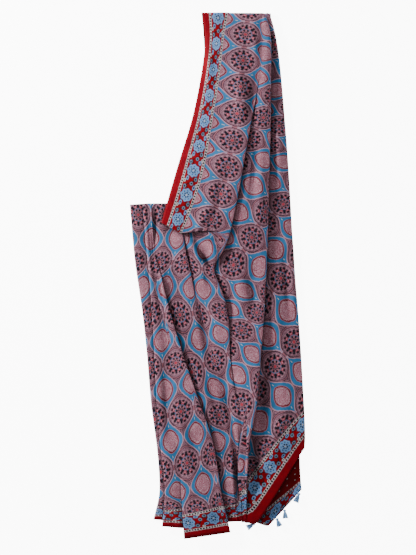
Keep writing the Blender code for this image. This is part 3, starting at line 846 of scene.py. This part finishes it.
class Shader:
    """The node tree of one material, with short names for what the print needs."""

    def __init__(self, name):
        self.material = bpy.data.materials.new(name)
        self.material.use_nodes = True
        self.tree = self.material.node_tree
        self.surface = self.tree.nodes["Principled BSDF"]

    def add(self, kind, settings=None, inputs=None, output=0):
        return add_node(self.tree, kind, settings, inputs).outputs[output]

    def connect(self, value, name):
        self.tree.links.new(value, self.surface.inputs[name])

    def set(self, **inputs):
        for key, value in inputs.items():
            self.surface.inputs[key.replace("_", " ")].default_value = value

    def math(self, operation, *values):
        inputs = {k: v for k, v in enumerate(values)}
        return self.add("ShaderNodeMath", {"operation": operation}, inputs)

    def mix(self, share, low, high):
        inputs = {0: share, 6: low, 7: high}
        return self.add("ShaderNodeMix", {"data_type": "RGBA"}, inputs, 2)

    def plus(self, a, b):
        return self.math("ADD", a, b)

    def minus(self, a, b):
        return self.math("SUBTRACT", a, b)

    def both(self, a, b):
        return self.math("MULTIPLY", a, b)

    def below(self, value, limit, soft):
        """One where value is under the limit, nought above it, with a soft step."""
        scaled = self.plus(self.math("DIVIDE", self.minus(limit, value), soft), 0.5)
        return self.math("MINIMUM", self.math("MAXIMUM", scaled, 0.0), 1.0)

    def above(self, value, limit, soft):
        return self.below(limit, value, soft)

    def away(self, value, centre):
        """Distance of value from the centre, never negative."""
        return self.math("ABSOLUTE", self.minus(value, centre))

    def near(self, value, centre, half, soft):
        """One within half of the centre."""
        return self.below(self.away(value, centre), half, soft)

    def share(self, value, size, power):
        return self.math("POWER", self.math("DIVIDE", value, size), power)

    def length(self, a, b):
        squares = self.plus(self.math("POWER", a, 2.0), self.math("POWER", b, 2.0))
        return self.math("SQRT", squares)

    def waves(self, value, rate):
        return self.math("COSINE", self.both(value, rate))

    def centred(self, value, pitch, shift):
        """Distance from the nearest repeat centre, in the units of value."""
        moved = self.plus(self.math("DIVIDE", self.minus(value, shift), pitch), 0.5)
        return self.both(self.minus(self.math("FRACT", moved), 0.5), pitch)

    def noise(self, place, scale, **more):
        inputs = {"Vector": place, "Scale": scale, **more}
        return self.add("ShaderNodeTexNoise", None, inputs)

    def cells(self, place, scale, feature="F1"):
        return self.add("ShaderNodeTexVoronoi", {"feature": feature},
                        {"Vector": place, "Scale": scale})


COLOURS = {
    "rose": srgb("#805465"), "rose_dark": srgb("#302438"), "pink_line": srgb("#CE9AAA"),
    "blue": srgb("#1466A2"), "blue_light": srgb("#4E92C2"), "dark_red": srgb("#6E0F1C"),
    "pink_heart": srgb("#94485A"), "white": srgb("#D6CDD0"), "navy": srgb("#0C111E"),
    "petal": srgb("#B8404E"), "grey_blue": srgb("#6078A0"), "red": srgb("#940012"),
    "selvedge": srgb("#86001A"), "flower": srgb("#7FA5D8"), "black": srgb("#0B090E"),
    "tail": srgb("#7C0812"), "leaf": srgb("#7387A0"), "pale_rose": srgb("#B4727E"),
}

# %% [markdown]
# ## The print, motif by motif
# Every table below is one layer of printing after another, in millimetres on the flat
# cloth. The medallion and the ogee stand in turn along the cloth; two borders run along
# its edges; the end of the tail has a ground of its own. Last come random tone, painted
# shade in the folds and the weave.

# %%
BLOCK_WOBBLE = 3.0         # the block is never laid down quite evenly, mm
BLOCK_WOBBLE_SCALE = 0.16
SPECK_SCALE = 0.55         # worn specks of the dye
CELL_SCALE = 0.28          # dot-work of the ground
FLECK_SCALE = 0.42         # finer dot-work inside the motifs
SQUIGGLE_SCALE = 0.34      # lines in the heart of an ogee
# Where those noises turn into dots and specks: limit, softness.
CELL_DOT = (0.42, 0.2)
SPECK_ON_GROUND = (0.56, 0.1)
SPECK_WORN = (0.36, 0.08)
# Softness of a printed edge, mm.
BROAD = 1.0
LINE = 0.8
CRISP = 0.6
FINE = 0.5
DOT_SOFT = 0.35            # softness of the dots round a ring, in the height of a wave

# Medallion: half length and half width with their powers, and how it is widened.
MEDALLION_LONG = (35.0, 1.5)
MEDALLION_WIDE = (44.0, 2.0)
MEDALLION_STRETCH = 1.15
# Lines round it: share of its outline, softness, colour.
MEDALLION_LINES = (
    (1.16, 0.06, "rose_dark"), (1.07, 0.06, "pale_rose"),
    (0.97, 0.05, "rose_dark"), (0.90, 0.05, "rose"),
)
MEDALLION_FILL = (0.88, 0.05)
FLECK_DARK = (0.36, 0.2)
FLECK_DARK_SHARE = 0.65
SPECK_PALE = (0.52, 0.08)
SPECK_PALE_SHARE = 0.7
# Rings of dots: radius, half width, dots round it (below nought: turned by half a dot),
# level where a dot begins, colour.
MEDALLION_DOTS = (
    (28.2, 0.8, -16, 0.3, "pink_line"), (24.2, 2.8, 16, -0.2, "navy"),
    (19.0, 2.6, 8, 0.0, "navy"), (19.8, 2.8, -8, 0.3, "petal"),
    (20.2, 1.0, -8, 0.7, "pink_line"), (14.6, 2.0, 16, 0.0, "grey_blue"),
    (11.2, 2.6, -8, 0.0, "navy"), (11.0, 2.3, 8, 0.3, "pale_rose"),
    (6.4, 1.5, 8, -0.1, "navy"),
)
MEDALLION_CENTRE = 3.6

# Ogee: half length, half width, how pointed, and how far its outer lines reach. The
# offsets of its lines are measured outwards from its side.
OGEE_LONG = 57.0
OGEE_WIDE = 32.5
OGEE_POINT = 0.85
OGEE_REACH = 62.0
OGEE_LINES = ((4.2, "rose_dark"), (3.2, "pink_line"))
OGEE_RING = 0.4
OGEE_INNER_LINE = (-1.6, 0.5, 50.0)     # offset, half width, how far it runs
OGEE_INNER_SHARE = 0.5
OGEE_TIP = (0.8, 41.0, 3.4)             # half width, middle, half length
HEART_WIDE = (20.5, 1.55)
HEART_LONG = (29.0, 1.7)
HEART_LINES = ((1.22, 0.08, "pale_rose"), (1.10, 0.06, "dark_red"))
HEART_FILL = (0.94, 0.06)
HEART_MARKS = (0.12, 0.1)
HEART_DOTS = (0.74, 0.07, 0.05)
HEART_FLECK = (0.34, 0.15)

# Border, measured from the cloth's edge.
STRIP_WIDTH = 20.4
STRIP_DYE_SCALE = 0.06
DOTTED_LINES = (24.0, 72.0)
DOTTED_LINE_HALF = 3.3
DOT_HALF = 2.2
DOT_PITCH = 8.0
LINE_DOT_LEVEL = (-0.35, 0.4)
FLOWER_LINE = 48.0
BORDER_WIDTH = 75.6
FLOWER_RADIUS = 17.8
FLOWER_OUTLINE = 19.0
FLOWER_LOBES = (8.0, 1.3)               # how many, how deep
FLOWER_RING = (6.0, 2.1)                # radius, half width
FLOWER_RING_DOTS = 6.0
RING_DOT_LEVEL = (-0.3, 0.5)            # height on the wave where a mark begins, softness
FLOWER_PETALS = (12.0, 1.5)
PETAL_LEVEL = (0.1, 0.5)
FLOWER_EYE = 2.2
STEM_SWINGS = 2            # in one repeat
STEM_SWING = 9.0
STEM_HALF = 1.6
# Leaves between the flowers: along, across, half sizes, colour.
LEAVES = (
    (-13.0, -13.0, 6.5, 4.5, "leaf"), (12.0, -11.0, 7.0, 4.0, "flower"),
    (-11.0, 14.0, 7.0, 4.2, "flower"), (13.0, 13.0, 6.0, 4.6, "leaf"),
    (-1.0, 4.0, 5.5, 5.0, "leaf"), (3.0, -17.0, 5.0, 3.2, "white"),
    (-3.0, 19.0, 5.0, 3.0, "white"),
)
# A leaf's outline, its own colour and its heart: share of its size.
LEAF_LAYERS = ((1.35, "black"), (0.95, None), (0.20, "navy"))
LEAF_SOFT = 0.2

# Printed end of the tail: below this u the print is the end's, with small stars.
TAIL_SPLIT_U = -2000.0
TAIL_END_MARGIN = 26.0
STAR_PITCH = 24.0
STAR_RADIUS = 2.0

# Random tone, painted shade darkening the colour in the folds, and the weave.
SHADE_LOW = 0.32
SHADE_RANGE = 0.46
# Painted shade in the folds: how far the ambient occlusion looks, how strongly it darkens the
# colour, and its samples.
PAINTED_SHADE_REACH = 0.04          # metres
PAINTED_SHADE_DEPTH = 2.2
PAINTED_SHADE_SAMPLES = 8
CLOUD_SCALE = 0.03
CLOUD_HEIGHT = 1.5
WEAVE_RATE = 7.0           # radians of the weave's waves for each millimetre
WEAVE_HEIGHT = 0.3
BUMP_STRENGTH = 0.25
BUMP_DISTANCE = 0.0006     # metres


def print_space(t):
    """Coordinates on the flat cloth, and the noises that every motif shares."""
    flat = t.add("ShaderNodeUVMap", {"uv_map": "print"})
    u = t.both(t.add("ShaderNodeSeparateXYZ", None, {0: flat}, 0), REPEAT_U)
    v = t.both(t.add("ShaderNodeSeparateXYZ", None, {0: flat}, 1), UV_UNIT)
    place = t.add("ShaderNodeCombineXYZ", None, {0: u, 1: v})
    wobble = t.noise(place, BLOCK_WOBBLE_SCALE, Detail=2.0)
    shake = t.both(t.minus(wobble, 0.5), BLOCK_WOBBLE)
    return {
        "place": place, "u": t.plus(u, shake), "v": t.plus(v, shake),
        "speck": t.noise(place, SPECK_SCALE, Detail=3.0, Roughness=0.7),
        "fleck": t.cells(place, FLECK_SCALE),
    }


def ground_layer(t, at):
    cells = t.cells(at["place"], CELL_SCALE)
    look = t.mix(t.below(cells, *CELL_DOT), COLOURS["rose"], COLOURS["rose_dark"])
    return t.mix(t.above(at["speck"], *SPECK_ON_GROUND), look, COLOURS["pink_line"])


def medallion_layer(t, at, look):
    """Medallions: pointed along u, with rings of dot-work."""
    a = t.centred(at["u"], REPEAT_U, 0.0)
    b = t.centred(at["v"], REPEAT_V, FIRST_ROW_V)
    outline = t.plus(t.share(t.math("ABSOLUTE", a), *MEDALLION_LONG),
                     t.share(t.math("ABSOLUTE", b), *MEDALLION_WIDE))
    narrow = t.math("DIVIDE", b, MEDALLION_STRETCH)
    turn = t.math("ARCTAN2", narrow, a)
    radius = t.length(a, narrow)
    for limit, soft, colour in MEDALLION_LINES:
        look = t.mix(t.below(outline, limit, soft), look, COLOURS[colour])
    inside = t.below(outline, *MEDALLION_FILL)
    dotted = t.both(t.below(at["fleck"], *FLECK_DARK), inside)
    look = t.mix(t.both(dotted, FLECK_DARK_SHARE), look, COLOURS["rose_dark"])
    pale = t.both(t.above(at["speck"], *SPECK_PALE), inside)
    look = t.mix(t.both(pale, SPECK_PALE_SHARE), look, COLOURS["pink_line"])
    worn = t.above(at["speck"], *SPECK_WORN)
    for centre, half, count, level, colour in MEDALLION_DOTS:
        waves = t.waves(turn, float(abs(count)))
        if count < 0:
            waves = t.both(waves, -1.0)
        dots = t.both(t.near(radius, centre, half, BROAD), t.above(waves, level, DOT_SOFT))
        look = t.mix(t.both(dots, worn), look, COLOURS[colour])
    return t.mix(t.below(radius, MEDALLION_CENTRE, BROAD), look, COLOURS["petal"])


def ogee_layer(t, at, look):
    """Ogees: pointed along v, a pink line, a blue ring, a dark red line, a pink heart."""
    p = t.math("ABSOLUTE", t.centred(at["u"], REPEAT_U, REPEAT_U / 2))
    q = t.math("ABSOLUTE", t.centred(at["v"], REPEAT_V, FIRST_ROW_V + REPEAT_V / 2))
    reach = t.math("MINIMUM", t.math("DIVIDE", q, OGEE_LONG), 1.0)
    swell = t.math("MULTIPLY_ADD", t.waves(reach, math.pi), 0.5, 0.5)
    side = t.minus(p, t.both(t.math("POWER", swell, OGEE_POINT), OGEE_WIDE))
    heart = t.plus(t.share(p, *HEART_WIDE), t.share(q, *HEART_LONG))
    within = t.below(q, OGEE_REACH, BROAD)
    for offset, colour in OGEE_LINES:
        look = t.mix(t.both(t.below(side, offset, LINE), within), look, COLOURS[colour])
    blue = t.mix(at["speck"], COLOURS["blue"], COLOURS["blue_light"])
    look = t.mix(t.both(t.below(side, OGEE_RING, LINE), within), look, blue)
    offset, half, end = OGEE_INNER_LINE
    line = t.both(t.near(side, offset, half, FINE), t.below(q, end, BROAD))
    look = t.mix(t.both(line, OGEE_INNER_SHARE), look, COLOURS["blue_light"])
    half_p, middle_q, half_q = OGEE_TIP
    tip = t.both(t.below(p, half_p, FINE), t.near(q, middle_q, half_q, LINE))
    look = t.mix(tip, look, COLOURS["white"])
    for limit, soft, colour in HEART_LINES:
        look = t.mix(t.below(heart, limit, soft), look, COLOURS[colour])
    marks = t.cells(at["place"], SQUIGGLE_SCALE, "DISTANCE_TO_EDGE")
    fill = t.mix(t.below(marks, *HEART_MARKS), COLOURS["pink_heart"], COLOURS["pink_line"])
    look = t.mix(t.below(heart, *HEART_FILL), look, fill)
    dots = t.both(t.near(heart, *HEART_DOTS), t.below(at["fleck"], *HEART_FLECK))
    return t.mix(dots, look, COLOURS["white"])


def border_place(t, at):
    """Distance from the cloth's edge or from the tail's end, and the way along it."""
    edge = t.math("MINIMUM", at["v"], t.minus(CLOTH_WIDTH_V, at["v"]))
    in_tail = t.below(at["u"], TAIL_SPLIT_U, BROAD)
    in_body = t.minus(1.0, in_tail)
    from_end = t.minus(t.both(at["u"], -1.0), TAIL_PRINT_START * REPEAT_U)
    edge = t.plus(t.both(edge, in_body),
                  t.both(t.plus(from_end, TAIL_END_MARGIN), in_tail))
    along = t.plus(t.both(at["u"], in_body), t.both(at["v"], in_tail))
    return edge, along, in_tail


def flower_layer(t, along, across, band):
    """Lobed flowers once in every repeat."""
    fa = t.centred(along, REPEAT_U, REPEAT_U / 2)
    radius = t.length(fa, across)
    turn = t.math("ARCTAN2", across, fa)
    lobes, lobe_depth = FLOWER_LOBES
    rim = t.minus(radius, t.both(t.waves(turn, lobes), lobe_depth))
    band = t.mix(t.below(rim, FLOWER_OUTLINE, BROAD), band, COLOURS["black"])
    band = t.mix(t.below(rim, FLOWER_RADIUS, BROAD), band, COLOURS["flower"])
    ring = t.both(t.near(radius, *FLOWER_RING, LINE),
                  t.above(t.waves(turn, FLOWER_RING_DOTS), *RING_DOT_LEVEL))
    band = t.mix(ring, band, COLOURS["black"])
    band = t.mix(t.below(radius, FLOWER_EYE, LINE), band, COLOURS["white"])
    petals = t.both(t.near(radius, *FLOWER_PETALS, LINE),
                    t.above(t.waves(turn, lobes), *PETAL_LEVEL))
    return t.mix(petals, band, COLOURS["blue"])


def border_layer(t, at, look, edge, along):
    """Border: a plain strip, two dotted lines, and flowers and leaves on a stem."""
    across = t.minus(edge, FLOWER_LINE)
    between = t.centred(along, REPEAT_U, 0.0)
    swing = t.math("SINE", t.both(along, STEM_SWINGS * 2.0 * math.pi / REPEAT_U))
    stem = t.away(across, t.both(swing, STEM_SWING))
    band = t.mix(t.below(stem, STEM_HALF, BROAD), COLOURS["red"], COLOURS["black"])
    for leaf_u, leaf_v, half_u, half_v, tone in LEAVES:
        leaf = t.plus(t.share(t.minus(between, leaf_u), half_u, 2.0),
                      t.share(t.minus(across, leaf_v), half_v, 2.0))
        for limit, colour in LEAF_LAYERS:
            band = t.mix(t.below(leaf, limit, LEAF_SOFT), band, COLOURS[colour or tone])
    band = flower_layer(t, along, across, band)
    dots = t.above(t.waves(along, 2.0 * math.pi / DOT_PITCH), *LINE_DOT_LEVEL)
    for line in DOTTED_LINES:
        off = t.away(edge, line)
        band = t.mix(t.below(off, DOTTED_LINE_HALF, CRISP), band, COLOURS["white"])
        band = t.mix(t.both(t.below(off, DOT_HALF, CRISP), dots), band, COLOURS["black"])
    dye = t.noise(at["place"], STRIP_DYE_SCALE, Detail=2.0)
    strip = t.mix(dye, COLOURS["selvedge"], COLOURS["red"])
    band = t.mix(t.below(edge, STRIP_WIDTH, CRISP), band, strip)
    return t.mix(t.below(edge, BORDER_WIDTH, CRISP), look, band)


def printed_end_layer(t, at, look, edge, in_tail):
    """The end of the tail: dark red with small stars."""
    star = t.length(t.centred(at["u"], STAR_PITCH, 0.0), t.centred(at["v"], STAR_PITCH, 0.0))
    ground = t.mix(t.below(star, STAR_RADIUS, LINE), COLOURS["tail"], COLOURS["white"])
    return t.mix(t.both(in_tail, t.above(edge, BORDER_WIDTH, CRISP)), look, ground)


def finish_cotton(t, at, look):
    """Uneven tone at random, painted shade darkening the folds and creases, and a fine weave."""
    cloudy = t.noise(at["place"], CLOUD_SCALE, Detail=3.0)
    mottled = t.plus(t.both(cloudy, SHADE_RANGE), SHADE_LOW)
    # Painted shade: ambient occlusion of the cloth itself darkens the colour in folds and
    # creases; the grey below carries random tone and this painted shade.
    painted_fold_shade = t.add("ShaderNodeAmbientOcclusion", {"samples": PAINTED_SHADE_SAMPLES, "only_local": True},
                     {"Distance": PAINTED_SHADE_REACH}, 1)
    tone_and_painted_shade = t.both(mottled, t.math("POWER", painted_fold_shade, PAINTED_SHADE_DEPTH))
    grey = t.add("ShaderNodeCombineXYZ", None, {0: tone_and_painted_shade, 1: tone_and_painted_shade, 2: tone_and_painted_shade})
    final = t.add("ShaderNodeMix", {"data_type": "RGBA", "blend_type": "MULTIPLY"},
                  {0: 1.0, 6: look, 7: grey}, 2)
    weave = t.both(t.math("SINE", t.both(at["u"], WEAVE_RATE)),
                   t.math("SINE", t.both(at["v"], WEAVE_RATE)))
    height = t.plus(t.both(weave, WEAVE_HEIGHT), t.both(cloudy, CLOUD_HEIGHT))
    bump = t.add("ShaderNodeBump", None,
                 {"Strength": BUMP_STRENGTH, "Distance": BUMP_DISTANCE, "Height": height})
    t.connect(final, "Base Color")
    t.connect(bump, "Normal")
    t.set(Roughness=0.86, Specular_IOR_Level=0.08, Sheen_Weight=0.0)


def print_material():
    t = Shader("block_printed_cotton")
    at = print_space(t)
    look = ogee_layer(t, at, medallion_layer(t, at, ground_layer(t, at)))
    edge, along, in_tail = border_place(t, at)
    look = border_layer(t, at, look, edge, along)
    look = printed_end_layer(t, at, look, edge, in_tail)
    finish_cotton(t, at, look)
    return t.material


cloth.data.materials.append(print_material())
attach(cloth, "root")
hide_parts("cloth")

# %% [markdown]
# ## Tassels
# A bundle of fine threads for each tassel, made once in Geometry Nodes with a fixed seed,
# with a wound knot at its head.

# %%
THREADS = 90
THREAD_RADIUS = 0.42
THREAD_POINTS = 6
THREAD_SIDES = 4
THREAD_OPENING = 0.55      # how soon the threads spread below the knot
THREAD_START = 0.2         # spread of the threads inside the knot, share of the full one
UNEVEN_ENDS = 0.12         # shortest thread, share of the length less
KNOT_LENGTH = 6.0
KNOT_SIDES = 14
# Profile of the wound knot and its collar: mm along, share of the width.
KNOT_PROFILE = ((0.2, 0.1), (1.0, 0.45), (2.4, 0.62), (4.0, 0.56), (5.2, 0.40),
                (5.8, 0.46), (6.8, 0.48), (7.6, 0.40))
TASSEL_FLATNESS = 0.62
BUNDLE_FLATNESS = 0.5
TASSEL_LIFT = 1.12
LOWEST_THREAD = 0.3        # mm above the surface
FIRST_SEED = 3


def thread_material():
    t = Shader("slate_blue_thread")
    place = t.add("ShaderNodeTexCoord", None, None, 3)
    tone = t.noise(place, 260.0)
    t.connect(t.mix(tone, srgb("#3F6E9E"), srgb("#86ABD2")), "Base Color")
    t.set(Roughness=0.8, Sheen_Weight=0.2)
    return t.material


def tassel_nodes(material):
    """Geometry Nodes: many thin threads that start close together and spread."""
    group = bpy.data.node_groups.new("thread_bundle", "GeometryNodeTree")
    face = group.interface
    named = {}
    for label, kind in (("Threads", "Int"), ("Length", "Float"), ("Spread", "Float"),
                        ("Thread radius", "Float"), ("Seed", "Int")):
        named[label] = face.new_socket(label, in_out="INPUT", socket_type="NodeSocket" + kind)
    face.new_socket("Geometry", in_out="OUTPUT", socket_type="NodeSocketGeometry")

    def add(kind, settings=None, inputs=None):
        return add_node(group, kind, settings, inputs).outputs

    def math_node(operation, *values):
        inputs = {k: v for k, v in enumerate(values)}
        return add("ShaderNodeMath", {"operation": operation}, inputs)[0]

    source = add("NodeGroupInput")
    points = add("GeometryNodePoints", None, {"Count": source["Threads"]})[0]
    line = add("GeometryNodeCurvePrimitiveLine", None, {"End": (1.0, 0.0, 0.0)})[0]
    fine = add("GeometryNodeResampleCurve", None, {"Curve": line, "Count": THREAD_POINTS})[0]
    many = add("GeometryNodeInstanceOnPoints", None, {"Points": points, "Instance": fine})[0]
    real = add("GeometryNodeRealizeInstances", None, {"Geometry": many})[0]
    t = add("GeometryNodeSplineParameter")["Factor"]
    index = add("GeometryNodeInputIndex")[0]
    number = math_node("FLOOR", math_node("DIVIDE", index, float(THREAD_POINTS)))
    spot = add("FunctionNodeRandomValue", {"data_type": "FLOAT_VECTOR"},
               {"Min": (-UNEVEN_ENDS, -1.0, -1.0), "Max": (0.0, 1.0, 1.0), "ID": number,
                "Seed": source["Seed"]})[0]
    parts = add("ShaderNodeSeparateXYZ", None, {0: spot})
    opened = math_node("POWER", t, THREAD_OPENING)
    wide = math_node("MULTIPLY_ADD", opened, 1.0 - THREAD_START, THREAD_START)
    spread = math_node("MULTIPLY", wide, source["Spread"])
    reach = math_node("MULTIPLY", math_node("ADD", 1.0, parts[0]), t)
    x = math_node("MULTIPLY", reach, source["Length"])
    y = math_node("MULTIPLY", parts[1], spread)
    z = math_node("MULTIPLY", math_node("MULTIPLY", parts[2], spread), BUNDLE_FLATNESS)
    place = add("ShaderNodeCombineXYZ", None, {0: x, 1: y, 2: z})[0]
    moved = add("GeometryNodeSetPosition", None, {"Geometry": real, "Position": place})[0]
    ring = add("GeometryNodeCurvePrimitiveCircle", None,
               {"Resolution": THREAD_SIDES, "Radius": source["Thread radius"]})[0]
    tube = add("GeometryNodeCurveToMesh", None,
               {"Curve": moved, "Profile Curve": ring, "Fill Caps": True})[0]
    joined = add("GeometryNodeRealizeInstances", None, {"Geometry": tube})[0]
    done = add("GeometryNodeSetMaterial", None, {"Geometry": joined, "Material": material})[0]
    add("NodeGroupOutput", None, {"Geometry": done})
    return group, {label: socket.identifier for label, socket in named.items()}


def knot_mesh(wide):
    """Wound knot and collar at the head of a tassel: a profile turned about the thread line."""
    verts = []
    faces = []
    for along, share in KNOT_PROFILE:
        for k in range(KNOT_SIDES):
            turn = 2 * math.pi * k / KNOT_SIDES
            y = share * wide * math.cos(turn)
            z = share * wide * TASSEL_FLATNESS * math.sin(turn)
            verts.append((along, y, z))
    last = (len(KNOT_PROFILE) - 1) * KNOT_SIDES
    for a in range(0, last, KNOT_SIDES):
        for k in range(KNOT_SIDES):
            b = a + (k + 1) % KNOT_SIDES
            faces.append((a + k, b, b + KNOT_SIDES, a + k + KNOT_SIDES))
    faces.append(tuple(reversed(range(KNOT_SIDES))))
    faces.append(tuple(last + k for k in range(KNOT_SIDES)))
    return verts, faces


thread = thread_material()
bundle, socket_of = tassel_nodes(thread)


def thread_mesh(long, wide, seed):
    """Threads of one tassel, along +X from the end of its knot, mm."""
    holder = bpy.data.objects.new("holder", bpy.data.meshes.new("holder"))
    bpy.context.scene.collection.objects.link(holder)
    modifier = holder.modifiers.new("threads", "NODES")
    modifier.node_group = bundle
    settings = {"Threads": THREADS, "Length": long - KNOT_LENGTH, "Spread": wide,
                "Thread radius": THREAD_RADIUS, "Seed": seed}
    for label, value in settings.items():
        modifier[socket_of[label]] = value
    bpy.context.view_layer.update()
    return evaluated_mesh(holder)


def build_tassel(name, at, points, long, wide, seed):
    threads = thread_mesh(long, wide, seed)
    verts = [(v.co.x + KNOT_LENGTH, v.co.y, v.co.z) for v in threads.vertices]
    faces = [tuple(p.vertices) for p in threads.polygons]
    knot_verts, knot_faces = knot_mesh(wide)
    start = len(verts)
    verts += knot_verts
    faces += [tuple(i + start for i in f) for f in knot_faces]
    turn = math.radians(points)
    centre_z = wide * TASSEL_FLATNESS * TASSEL_LIFT
    placed = []
    for x, y, z in verts:
        px = at[0] + x * math.cos(turn) - y * math.sin(turn) - CENTRE_X
        py = at[1] + x * math.sin(turn) + y * math.cos(turn) - CENTRE_Y
        placed.append((px * MM, py * MM, max(centre_z + z, LOWEST_THREAD) * MM))
    mesh = bpy.data.meshes.new(name)
    mesh.from_pydata(placed, [], faces)
    mesh.materials.append(thread)
    return link_smooth(name, mesh)


for seed, (tassel_name, spec) in enumerate(TASSELS.items()):
    tassel = build_tassel("threads_of_" + tassel_name, seed=seed + FIRST_SEED, **spec)
    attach(tassel, "root")
    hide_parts(tassel_name)

# %% [markdown]
# ## Floor, light and camera
# A plain pale floor, a broad soft light from above left, and a camera straight above.

# %%
FLOOR_HALF = 12.0          # metres, as is everything in this cell
FLOOR_GLOW = 9.0
# Area lights: where each hangs, its size and its power; both aim at the middle.
LIGHTS = {
    "key": ((-3.2, 1.9, 1.35), 0.6, 430.0),
    "fill": ((0.6, -0.4, 4.5), 2.5, 50.0),
}
SKY = 0.32
FRAME_HEIGHT = 1.554       # height of the view on the floor
CAMERA_HEIGHT = 6.0
CAMERA_AT = ((-25.2 - CENTRE_X) * MM, (-4.2 - CENTRE_Y) * MM)

corners = [(x * FLOOR_HALF, y * FLOOR_HALF, 0.0) for x, y in ((-1, -1), (1, -1), (1, 1), (-1, 1))]
floor_mesh = bpy.data.meshes.new("floor")
floor_mesh.from_pydata(corners, [], [(0, 1, 2, 3)])
floor = bpy.data.objects.new("floor", floor_mesh)
bpy.context.scene.collection.objects.link(floor)
pale = Shader("pale_floor")
pale.set(Base_Color=srgb("#FAFAFA"), Roughness=1.0, Specular_IOR_Level=0.0,
         Emission_Color=srgb("#FFFFFF"), Emission_Strength=FLOOR_GLOW)
floor_mesh.materials.append(pale.material)

for light_name, (place, size, power) in LIGHTS.items():
    lamp = bpy.data.lights.new(light_name, "AREA")
    lamp.shape = "DISK"
    lamp.size = size
    lamp.energy = power
    light = bpy.data.objects.new(light_name, lamp)
    light.location = place
    tilt = math.atan2(math.hypot(place[0], place[1]), place[2])
    light.rotation_euler = (tilt, 0.0, math.atan2(place[0], -place[1]))
    bpy.context.scene.collection.objects.link(light)

world = bpy.data.worlds.new("studio")
world.use_nodes = True
background = world.node_tree.nodes["Background"]
background.inputs["Color"].default_value = (1.0, 1.0, 1.0, 1.0)
background.inputs["Strength"].default_value = SKY
bpy.context.scene.world = world

camera_data = bpy.data.cameras.new("camera")
camera_data.sensor_fit = "VERTICAL"
camera_data.angle = 2.0 * math.atan(FRAME_HEIGHT / 2.0 / CAMERA_HEIGHT)
camera = bpy.data.objects.new("camera", camera_data)
camera.location = (*CAMERA_AT, CAMERA_HEIGHT)
bpy.context.scene.collection.objects.link(camera)
bpy.context.scene.camera = camera
